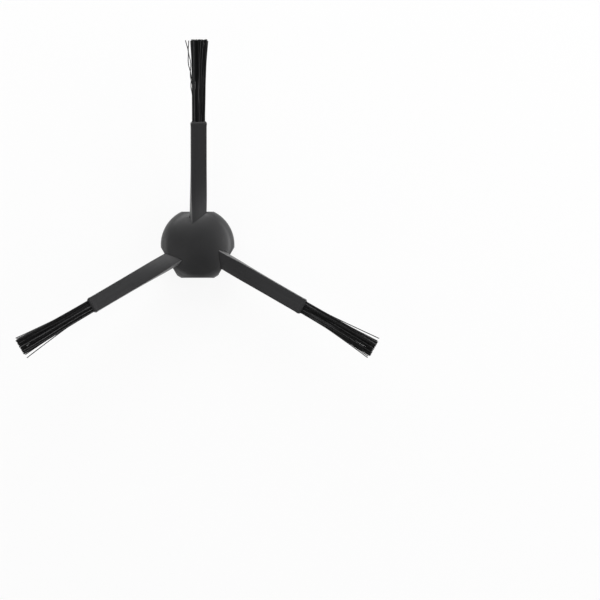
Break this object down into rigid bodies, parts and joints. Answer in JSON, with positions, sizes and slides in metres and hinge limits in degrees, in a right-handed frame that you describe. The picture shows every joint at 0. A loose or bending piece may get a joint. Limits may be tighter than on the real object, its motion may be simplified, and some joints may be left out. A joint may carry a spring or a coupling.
{
  "type": "robot vacuum side brush",
  "caption": "Press-on side brush for a robot vacuum: domed hub with a keyed socket and soft pitched arms, each ending in a flat tuft of bristles.",
  "frame": {"origin": "on the hub's axis, in the plane of the base ring, at the mouth of the drive socket", "axes": "+Z along the hub's axis towards the dome, which faces the floor in use; +Y along the first arm"},
  "size_m": [0.1449, 0.1273, 0.0247],
  "materials": {
    "cap_plastic": "satin moulded, charcoal",
    "base_plastic": "satin moulded, dark grey",
    "arm_rubber": "matt soft elastomer, charcoal",
    "bristle_nylon": "satin drawn filament, black"
  },
  "bodies": {
    "root": {"dome_cap": "cap_plastic", "drive_base": "base_plastic", "arm_1": "arm_rubber", "arm_2": "arm_rubber", "arm_3": "arm_rubber", "tuft_1": "bristle_nylon", "tuft_2": "bristle_nylon", "tuft_3": "bristle_nylon"}
  },
  "joints": []
}
